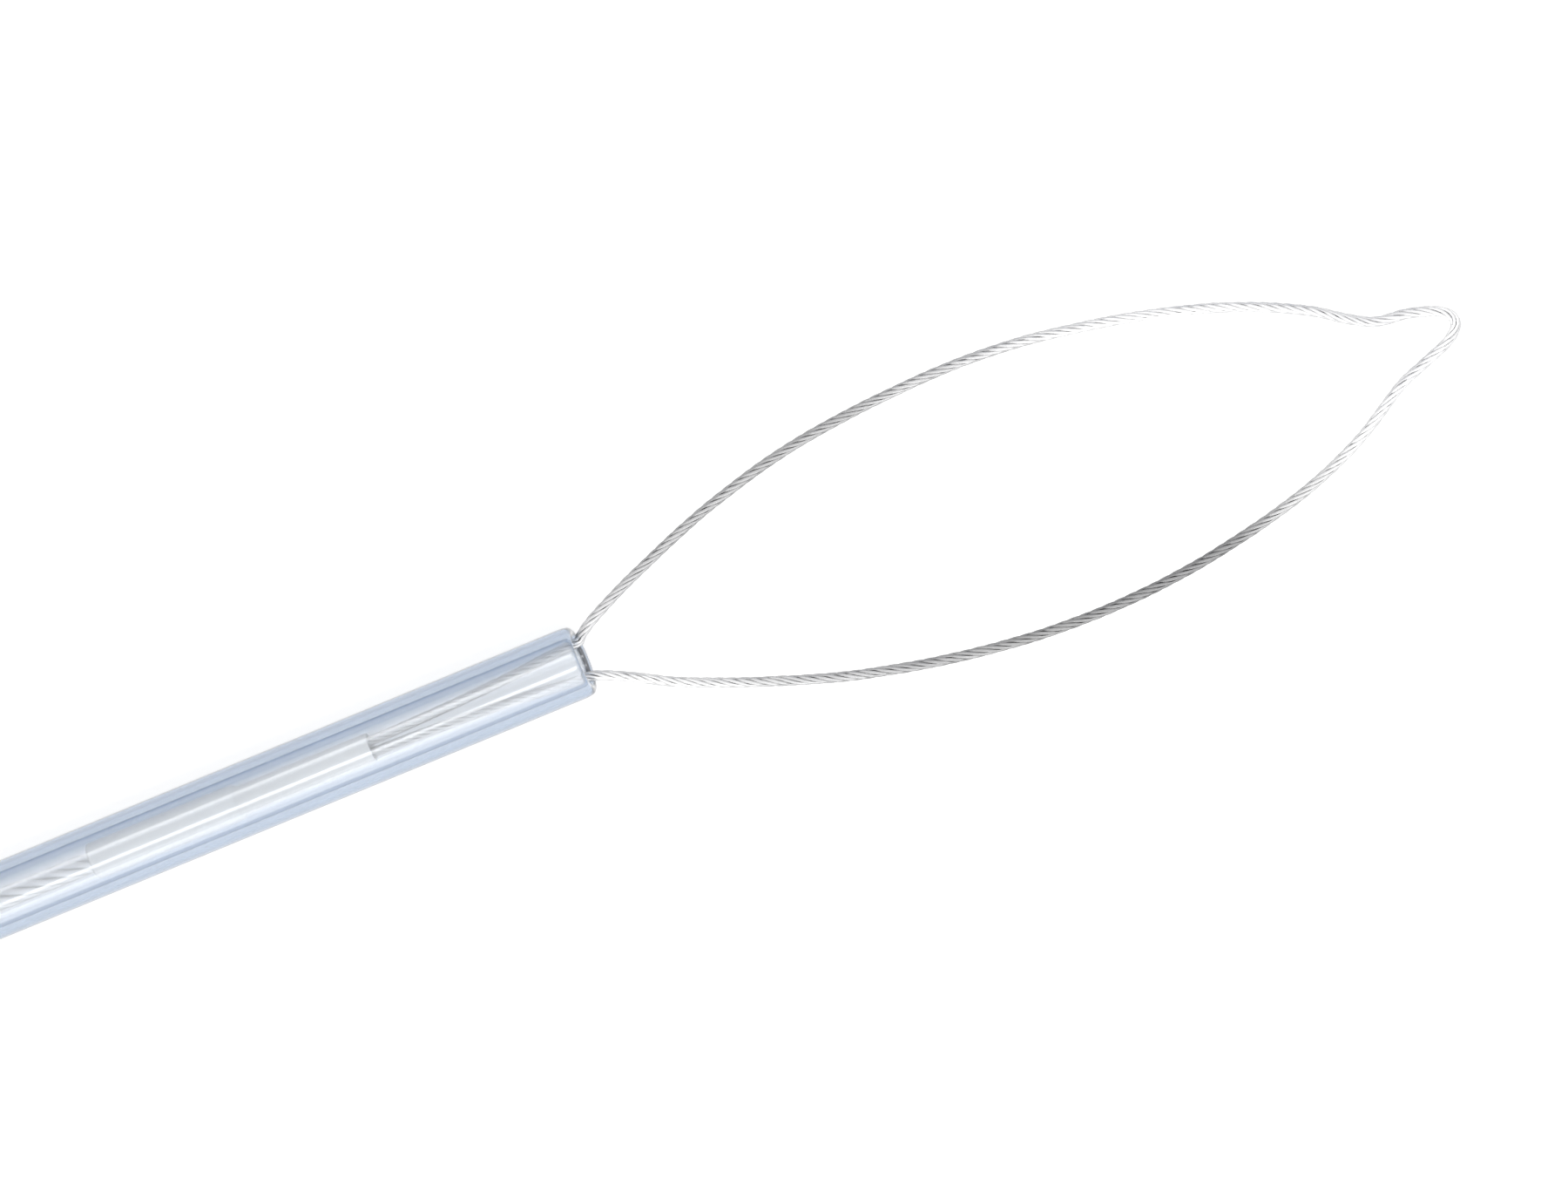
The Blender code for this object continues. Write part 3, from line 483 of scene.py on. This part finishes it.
def finished_copy(node, edge=0.0, smooth_angle=SMOOTH_ANGLE):
    """A copy of a CAD solid, merged, with its flat faces joined and its edges eased."""
    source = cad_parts[node]
    mesh = source.data.copy()
    mesh.name = node + "_moulded"
    mesh.transform(source.matrix_basis)
    form = bmesh.new()
    form.from_mesh(mesh)
    bmesh.ops.remove_doubles(form, verts=form.verts, dist=MERGE_DISTANCE)
    bmesh.ops.dissolve_limit(form, angle_limit=FLAT_ANGLE, verts=form.verts, edges=form.edges,
                             delimit=set())
    bmesh.ops.recalc_face_normals(form, faces=form.faces)
    for face in form.faces:
        face.smooth = True
    form.to_mesh(mesh)
    form.free()
    made = bpy.data.objects.new(mesh.name, mesh)
    bpy.context.scene.collection.objects.link(made)
    if edge > 0:
        eased = made.modifiers.new("eased_edges", 'BEVEL')
        eased.width = edge
        eased.segments = EDGE_SEGMENTS
        eased.limit_method = 'ANGLE'
        eased.angle_limit = radians(smooth_angle)
        eased.harden_normals = True
    mesh.set_sharp_from_angle(angle=radians(smooth_angle))
    return made


crimp = finished_copy("crimp_sleeve")
crimp_finish.dress(crimp)
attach(crimp, "loop")
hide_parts("crimp_sleeve")

# Drive cable: a steel rope inside the whole sheath. Its front stretch shows its laid strands and is
# baked where it lies, riding no body, though in the real snare it slides with the loop. The coiled
# stretch is one plain bar that lies still to the eye, and the rear end, further down, slides with the
# spool.
CABLE_D = 0.00074
CABLE_LAY = 0.0046
CABLE_STRANDS = 6
CABLE_STEP = 0.0005
CABLE_START = 0.0134
CABLE_ROUNDNESS, CABLE_COIL_ROUNDNESS = 2, 3
CABLE_START_POINT = 2
CABLE_GREY = (0.78, 0.78, 0.79)
CABLE_DARK, CABLE_LIGHT = (0.66, 0.66, 0.67), (0.86, 0.86, 0.86)
CABLE_ROUGHNESS, CABLE_MOTTLE = 0.38, 300.0
cable_front_x = MOUTH.x + CABLE_START
cable_strand_d = CABLE_D / 3
front_line = [Vector((cable_front_x, MOUTH.y, MOUTH.z)), route[coil_end]]
front_strands = laid_strands(front_line, CABLE_STEP, CABLE_STRANDS, cable_strand_d, CABLE_LAY)
cable_front = swept("drive_cable_front", front_strands, cable_strand_d / 2, CABLE_ROUNDNESS)
cable_finish = Finish("cable_stainless", CABLE_GREY, CABLE_ROUGHNESS, 1.0)
cable_tone = cable_finish.mix(cable_finish.noise(CABLE_MOTTLE), CABLE_DARK, CABLE_LIGHT)
cable_finish.link(cable_tone, cable_finish.shader.inputs["Base Color"])
cable_finish.dress(cable_front)
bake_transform(cable_front)
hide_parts("cable_distal")
coil_route = route[CABLE_START_POINT:coil_end + 1]
cable_coil = swept("drive_cable_coil", [coil_route], CABLE_D / 2, CABLE_COIL_ROUNDNESS)
cable_finish.dress(cable_coil)
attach(cable_coil, "handle")

# Handle shaft: one ABS moulding in pale grey, with the thumb ring, the rear stop, the slotted bar
# and the nose block. Its faces have the satin grain of the tool, and a fine parting line runs round
# it at half its height.
SHAFT_DARK, SHAFT_LIGHT = (0.80, 0.815, 0.83), (0.87, 0.88, 0.89)
SHAFT_ROUGHNESS = 0.36
MOULD_EDGE = 0.00025
MOULD_MOTTLE, MOULD_SHEEN = 55.0, 320.0
SHEEN_BELOW, SHEEN_ABOVE = 0.05, 0.08
MOULD_SPECULAR = 0.45
PARTING_HALF = 0.00007
MOULD_GRAIN, GRAIN_SCALE = 0.12, 2600.0
GRAIN_STRENGTH, GRAIN_DEPTH = 0.8, 0.00003


def moulded_finish(name, dark, light, roughness, grain=MOULD_GRAIN, parting=True):
    """Satin moulded plastic: mottled colour, uneven sheen, tool grain and a parting line."""
    finish = Finish(name, light, roughness)
    mottle = finish.mix(finish.noise(MOULD_MOTTLE), dark, light)
    finish.link(mottle, finish.shader.inputs["Base Color"])
    sheen = finish.noise(MOULD_SHEEN, 4.0)
    finish.link(finish.ranged(sheen, roughness - SHEEN_BELOW, roughness + SHEEN_ABOVE),
                finish.shader.inputs["Roughness"])
    finish.shader.inputs["Specular IOR Level"].default_value = MOULD_SPECULAR
    height = finish.ranged(finish.noise(GRAIN_SCALE), 0.0, grain)
    if parting:
        apart = finish.tree.nodes.new("ShaderNodeSeparateXYZ")
        finish.link(finish.place.outputs["Object"], apart.inputs["Vector"])
        away = finish.tree.nodes.new("ShaderNodeMath")
        away.operation = 'SUBTRACT'
        away.inputs[1].default_value = AXIS_Z
        finish.link(apart.outputs["Z"], away.inputs[0])
        gap = finish.tree.nodes.new("ShaderNodeMath")
        gap.operation = 'ABSOLUTE'
        finish.link(away.outputs["Value"], gap.inputs[0])
        ridge = finish.ranged(gap.outputs["Value"], 1.0, 0.0, 0.0, PARTING_HALF)
        total = finish.tree.nodes.new("ShaderNodeMath")
        total.operation = 'ADD'
        finish.link(ridge, total.inputs[0])
        finish.link(height, total.inputs[1])
        height = total.outputs["Value"]
    finish.bump(height, GRAIN_STRENGTH, GRAIN_DEPTH)
    return finish


def fit_out(piece, finish, body, node):
    """Give a piece its finish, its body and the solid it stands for."""
    finish.dress(piece)
    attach(piece, body)
    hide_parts(node)


shaft = finished_copy("handle_shaft", MOULD_EDGE)
shaft_finish = moulded_finish("shaft_abs", SHAFT_DARK, SHAFT_LIGHT, SHAFT_ROUGHNESS)
fit_out(shaft, shaft_finish, "handle", "handle_shaft")

# Spool: a blue ABS moulding with a finger ring on each side of its hub. The hub is hollow and
# slides on the shaft's bar between the nose block and the rear stop.
SPOOL_DARK, SPOOL_LIGHT = (0.035, 0.13, 0.36), (0.05, 0.17, 0.43)
SPOOL_ROUGHNESS = 0.34
spool = finished_copy("slider", MOULD_EDGE)
spool_finish = moulded_finish("spool_abs", SPOOL_DARK, SPOOL_LIGHT, SPOOL_ROUGHNESS)
fit_out(spool, spool_finish, "spool", "slider")

# Insulating collar: a turned black phenolic bush, set with its spigot into the hub's top. It keeps
# the live connector pin away from the fingers.
COLLAR_DARK, COLLAR_LIGHT = (0.012, 0.012, 0.014), (0.022, 0.022, 0.025)
COLLAR_ROUGHNESS = 0.42
collar = finished_copy("pin_collar")
collar_finish = moulded_finish("collar_phenolic", COLLAR_DARK, COLLAR_LIGHT, COLLAR_ROUGHNESS,
                               parting=False)
fit_out(collar, collar_finish, "spool", "pin_collar")

# Connector pin: turned brass, nickel plated, with a flat end that is rounded at its edge. It stands
# on the collar, and its foot carries the fine thread that the nut runs on.
PIN_R = 0.002
PIN_X = -0.0223
THREAD_PITCH = 0.0007
THREAD_LOW, THREAD_HIGH = 0.0224, 0.0272
THREAD_R = 0.00014
THREAD_STEPS, THREAD_ROUNDNESS = 24, 1
PIN_DARK, PIN_LIGHT = (0.58, 0.56, 0.52), (0.70, 0.68, 0.63)
PIN_ROUGHNESS, PIN_MARKS = 0.22, (300.0, 300.0, 6000.0)
PIN_MARK_STRENGTH = 0.08
TARNISH_SCALE = 140.0
GLOSS_BELOW, GLOSS_ABOVE = 0.08, 0.10
TOOL_MARK_STRENGTH = 0.15


def metal_finish(name, dark, light, roughness, stretch, strength=TOOL_MARK_STRENGTH):
    """Machined metal: tool marks drawn out along the stretch, with a slight tarnish."""
    finish = Finish(name, light, roughness, 1.0)
    marks = finish.noise(1.0, 4.0, stretch)
    tarnish = finish.mix(finish.noise(TARNISH_SCALE), dark, light)
    finish.link(tarnish, finish.shader.inputs["Base Color"])
    finish.link(finish.ranged(marks, roughness - GLOSS_BELOW, roughness + GLOSS_ABOVE),
                finish.shader.inputs["Roughness"])
    finish.bump(marks, strength, MARK_DEPTH)
    return finish


pin = finished_copy("connector_pin")
nickel = metal_finish("pin_nickel", PIN_DARK, PIN_LIGHT, PIN_ROUGHNESS, PIN_MARKS,
                      PIN_MARK_STRENGTH)
fit_out(pin, nickel, "spool", "connector_pin")
thread_points = round((THREAD_HIGH - THREAD_LOW) / THREAD_PITCH * THREAD_STEPS)
thread_line = []
for step in range(thread_points + 1):
    angle = 2 * pi * step / THREAD_STEPS
    height = THREAD_LOW + THREAD_PITCH * step / THREAD_STEPS
    thread_line.append(Vector((PIN_X + PIN_R * cos(angle), PIN_R * sin(angle), height)))
thread = swept("pin_thread", [thread_line], THREAD_R, THREAD_ROUNDNESS)
nickel.dress(thread)
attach(thread, "spool")

# Nut: a small nickel-plated hexagon nut, chamfered on top. It runs on the pin's thread and
# clamps pin and collar to the hub.
NUT_EDGE, NUT_SHARP = 0.0001, 25.0
NUT_DARK, NUT_LIGHT = (0.60, 0.59, 0.56), (0.72, 0.71, 0.69)
NUT_ROUGHNESS, NUT_MARKS = 0.26, (4000.0, 4000.0, 900.0)
nut = finished_copy("pin_nut", NUT_EDGE, NUT_SHARP)
nut_finish = metal_finish("nut_nickel", NUT_DARK, NUT_LIGHT, NUT_ROUGHNESS, NUT_MARKS)
fit_out(nut, nut_finish, "spool", "pin_nut")

# Clamp block: milled brass that rides inside the bar's slot. It takes the connector pin's shank
# from above and the drive tube through its length.
CLAMP_DARK, CLAMP_LIGHT = (0.60, 0.42, 0.16), (0.72, 0.53, 0.24)
CLAMP_ROUGHNESS, CLAMP_MARKS = 0.3, (500.0, 9000.0, 9000.0)
clamp = finished_copy("clamp_block")
brass = metal_finish("clamp_brass", CLAMP_DARK, CLAMP_LIGHT, CLAMP_ROUGHNESS, CLAMP_MARKS)
fit_out(clamp, brass, "spool", "clamp_block")

# Clamp screws: two blackened steel grub screws with hexagon sockets, set into the clamp block,
# where they pinch the drive tube.
SCREW_DARK, SCREW_LIGHT = (0.20, 0.20, 0.21), (0.32, 0.32, 0.33)
SCREW_ROUGHNESS, SCREW_MARKS = 0.35, (2000.0, 2000.0, 2000.0)
screw_finish = metal_finish("screw_steel", SCREW_DARK, SCREW_LIGHT, SCREW_ROUGHNESS, SCREW_MARKS)
for screw in ("clamp_screw_front", "clamp_screw_rear"):
    fit_out(finished_copy(screw), screw_finish, "spool", screw)

# Drive tube: drawn and polished stainless tube, held in the clamp block. It slides in the guide
# bush and pushes the cable through the nose.
TUBE_DARK, TUBE_LIGHT = (0.62, 0.62, 0.63), (0.74, 0.74, 0.75)
TUBE_ROUGHNESS, TUBE_MARKS = 0.2, (300.0, 9000.0, 9000.0)
tube_finish = metal_finish("tube_steel", TUBE_DARK, TUBE_LIGHT, TUBE_ROUGHNESS, TUBE_MARKS)
fit_out(finished_copy("drive_tube"), tube_finish, "spool", "drive_tube")

# Cable's rear end: a plain bar, hidden in the nose. It is held in the front of the drive tube, so
# that it slides with the spool.
fit_out(finished_copy("cable_proximal"), cable_finish, "spool", "cable_proximal")

# Guide bush: turned brass, set into the nose block from its front, behind the barrel's spigot. The
# drive tube slides through its bore.
BUSH_DARK, BUSH_LIGHT = (0.58, 0.40, 0.15), (0.70, 0.51, 0.22)
BUSH_ROUGHNESS, BUSH_MARKS = 0.3, (9000.0, 600.0, 600.0)
bush_finish = metal_finish("bush_brass", BUSH_DARK, BUSH_LIGHT, BUSH_ROUGHNESS, BUSH_MARKS)
fit_out(finished_copy("guide_bush"), bush_finish, "handle", "guide_bush")

# Nose barrel: a tapered blue ABS moulding whose spigot is bonded into the nose block. It holds
# the ferrule and the strain relief at its front.
BARREL_DARK, BARREL_LIGHT = (0.04, 0.14, 0.38), (0.055, 0.18, 0.45)
BARREL_ROUGHNESS = 0.34
barrel = finished_copy("nose_barrel")
barrel_finish = moulded_finish("barrel_abs", BARREL_DARK, BARREL_LIGHT, BARREL_ROUGHNESS)
fit_out(barrel, barrel_finish, "handle", "nose_barrel")

# Ferrule: a turned stainless sleeve with a bore for the sheath. One half of it sits in the barrel
# and the other in the strain relief.
FERRULE_DARK, FERRULE_LIGHT = (0.60, 0.60, 0.61), (0.73, 0.73, 0.74)
FERRULE_ROUGHNESS, FERRULE_MARKS = 0.25, (9000.0, 500.0, 500.0)
ferrule_finish = metal_finish("ferrule_steel", FERRULE_DARK, FERRULE_LIGHT, FERRULE_ROUGHNESS,
                              FERRULE_MARKS)
fit_out(finished_copy("ferrule"), ferrule_finish, "handle", "ferrule")

# Strain relief: a soft black rubber sleeve in front of the barrel, out of which the sheath comes.
# Its grooves let it bend with the sheath.
RELIEF_DARK, RELIEF_LIGHT = (0.014, 0.014, 0.016), (0.03, 0.03, 0.033)
RELIEF_ROUGHNESS, RELIEF_GRAIN = 0.62, 0.3
relief = finished_copy("strain_relief")
relief_finish = moulded_finish("relief_rubber", RELIEF_DARK, RELIEF_LIGHT, RELIEF_ROUGHNESS,
                               RELIEF_GRAIN, parting=False)
fit_out(relief, relief_finish, "handle", "strain_relief")

# Tie: a soft pale strap laid over the coil's rows, its ends tucked under the outermost and the
# innermost turn, so that the turns stay together.
TIE_WIDTH_ANGLE = radians(15.0)
TIE_THICKNESS = 0.0003
TIE_CLEARANCE = 0.0001
TIE_TUCK = radians(38.0)
TIE_BEND_STEPS, TIE_WIDTH_STEPS = 10, 8
TIE_EDGE = 0.00012
OUTER_TUCK, TOP_REACH, INNER_TUCK = 2.75, 2.0, 2.25
TIE_GREY = (0.80, 0.82, 0.84)
TIE_DARK, TIE_LIGHT = (0.72, 0.74, 0.77), (0.84, 0.86, 0.88)
TIE_ROUGHNESS, TIE_MOTTLE = 0.55, 180.0
TIE_GRAIN = 1500.0
TIE_GRAIN_STRENGTH, TIE_GRAIN_DEPTH = 0.3, 0.00004
tie_turns = (
    (COIL_R + OUTER_TUCK * TURN_PITCH, LOW_Z), (COIL_R + TOP_REACH * TURN_PITCH, HIGH_Z),
    (COIL_R - TOP_REACH * TURN_PITCH, HIGH_Z), (COIL_R - INNER_TUCK * TURN_PITCH, LOW_Z),
)
tie_bends = [-TIE_TUCK]
for (r0, z0), (r1, z1) in zip(tie_turns, tie_turns[1:]):
    tie_bends.append(atan2(r0 - r1, z1 - z0))
tie_bends.append(pi + TIE_TUCK)
tie_form = bmesh.new()
tie_verts = []
for (r, z), first, last in zip(tie_turns, tie_bends, tie_bends[1:]):
    for step in range(TIE_BEND_STEPS + 1):
        angle = first + (last - first) * step / TIE_BEND_STEPS
        reach = SHEATH_OD / 2 + TIE_CLEARANCE
        spot = Vector((r + reach * cos(angle), 0.0, z + reach * sin(angle)))
        tie_verts.append(tie_form.verts.new(spot))
for a, b in zip(tie_verts, tie_verts[1:]):
    tie_form.edges.new((a, b))
bmesh.ops.rotate(tie_form, verts=tie_form.verts, cent=(0.0, 0.0, 0.0),
                 matrix=Matrix.Rotation(-TIE_WIDTH_ANGLE / 2, 3, 'Z'))
bmesh.ops.spin(tie_form, geom=tie_form.verts[:] + tie_form.edges[:], cent=(0.0, 0.0, 0.0),
               axis=(0.0, 0.0, 1.0), angle=TIE_WIDTH_ANGLE, steps=TIE_WIDTH_STEPS)
bmesh.ops.translate(tie_form, verts=tie_form.verts, vec=(COIL_X, COIL_Y, 0.0))
bmesh.ops.recalc_face_normals(tie_form, faces=tie_form.faces)
for face in tie_form.faces:
    face.smooth = True
tie_mesh = bpy.data.meshes.new("coil_tie")
tie_form.to_mesh(tie_mesh)
tie_form.free()
tie = bpy.data.objects.new("coil_tie", tie_mesh)
bpy.context.scene.collection.objects.link(tie)
strap = tie.modifiers.new("strap", 'SOLIDIFY')
strap.thickness = TIE_THICKNESS
strap.offset = 1.0
tie_edges = tie.modifiers.new("soft_edges", 'BEVEL')
tie_edges.width = TIE_EDGE
tie_edges.segments = EDGE_SEGMENTS
tie_edges.limit_method = 'ANGLE'
tie_edges.angle_limit = SHARP_ANGLE
tie_finish = Finish("tie_elastomer", TIE_GREY, TIE_ROUGHNESS)
tie_tone = tie_finish.mix(tie_finish.noise(TIE_MOTTLE), TIE_DARK, TIE_LIGHT)
tie_finish.link(tie_tone, tie_finish.shader.inputs["Base Color"])
tie_finish.bump(tie_finish.noise(TIE_GRAIN, 2.0), TIE_GRAIN_STRENGTH, TIE_GRAIN_DEPTH)
tie_finish.dress(tie)
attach(tie, "handle")

# Table: a plain white sheet. It is lifted to white where it is seen directly, on metal or through
# the sheath, and keeps the soft shadow of the instrument.
TABLE_HALF = 1.5
TABLE_DROP = 0.00005
TABLE_WHITE = (0.55, 0.55, 0.55)
TABLE_ROUGHNESS = 0.9
TABLE_LIFT = 0.72
floor_mesh = bpy.data.meshes.new("table")
form = bmesh.new()
bmesh.ops.create_grid(form, x_segments=1, y_segments=1, size=TABLE_HALF)
form.to_mesh(floor_mesh)
form.free()
floor = bpy.data.objects.new("table", floor_mesh)
floor.location = (0.0, 0.0, -TABLE_DROP)
bpy.context.scene.collection.objects.link(floor)
table_finish = Finish("table_white", TABLE_WHITE, TABLE_ROUGHNESS)
table_finish.shader.inputs["Specular IOR Level"].default_value = 0.0


def seen_directly(tree):
    """1 where a ray comes from the camera, off metal or through glass."""
    ray = tree.nodes.new("ShaderNodeLightPath")
    seen = ray.outputs["Is Camera Ray"]
    for kind in ("Is Glossy Ray", "Is Transmission Ray"):
        either = tree.nodes.new("ShaderNodeMath")
        either.operation = 'MAXIMUM'
        tree.links.new(seen, either.inputs[0])
        tree.links.new(ray.outputs[kind], either.inputs[1])
        seen = either.outputs["Value"]
    return seen


lift = table_finish.tree.nodes.new("ShaderNodeMath")
lift.operation = 'MULTIPLY'
lift.inputs[1].default_value = TABLE_LIFT
table_finish.link(seen_directly(table_finish.tree), lift.inputs[0])
table_finish.shader.inputs["Emission Color"].default_value = (1.0, 1.0, 1.0, 1.0)
table_finish.link(lift.outputs["Value"], table_finish.shader.inputs["Emission Strength"])
table_finish.dress(floor)

# Light: a pale room, a large soft box out on the side where the loop lies, and a strip box high up
# on each side of the sheath's tip, all aimed at one spot.
ROOM_LEVEL = 0.38
LIT_SPOT = Vector((0.0, 0.06, 0.0))
SIDE_SIZE, STRIP_SIZE = (0.9, 0.36), (0.9, 0.10)
SIDE_PLACE, TOP_PLACE, REAR_PLACE = (0.0, 0.62, 0.34), (0.0, 0.26, 0.62), (0.0, -0.24, 0.60)
SIDE_POWER, TOP_POWER, REAR_POWER = 2.0, 1.0, 0.85
world = bpy.data.worlds.new("room")
bpy.context.scene.world = world
world.use_nodes = True
room = world.node_tree
background = room.nodes["Background"]
background.inputs["Color"].default_value = (1.0, 1.0, 1.0, 1.0)
level = room.nodes.new("ShaderNodeMapRange")
level.inputs["To Min"].default_value = ROOM_LEVEL
level.inputs["To Max"].default_value = 1.0
room.links.new(seen_directly(room), level.inputs["Value"])
room.links.new(level.outputs["Result"], background.inputs["Strength"])


def soft_box(name, place, size, power):
    """A rectangular lamp in a place, aimed at the lit spot."""
    lamp = bpy.data.lights.new(name, 'AREA')
    lamp.shape = 'RECTANGLE'
    lamp.size, lamp.size_y = size
    lamp.energy = power
    stand = bpy.data.objects.new(name, lamp)
    stand.location = place
    stand.rotation_euler = (LIT_SPOT - Vector(place)).to_track_quat('-Z', 'Y').to_euler()
    bpy.context.scene.collection.objects.link(stand)


soft_box("side_light", SIDE_PLACE, SIDE_SIZE, SIDE_POWER)
soft_box("top_light", TOP_PLACE, STRIP_SIZE, TOP_POWER)
soft_box("rear_light", REAR_PLACE, STRIP_SIZE, REAR_POWER)

bpy.context.scene.view_settings.view_transform = 'Standard'
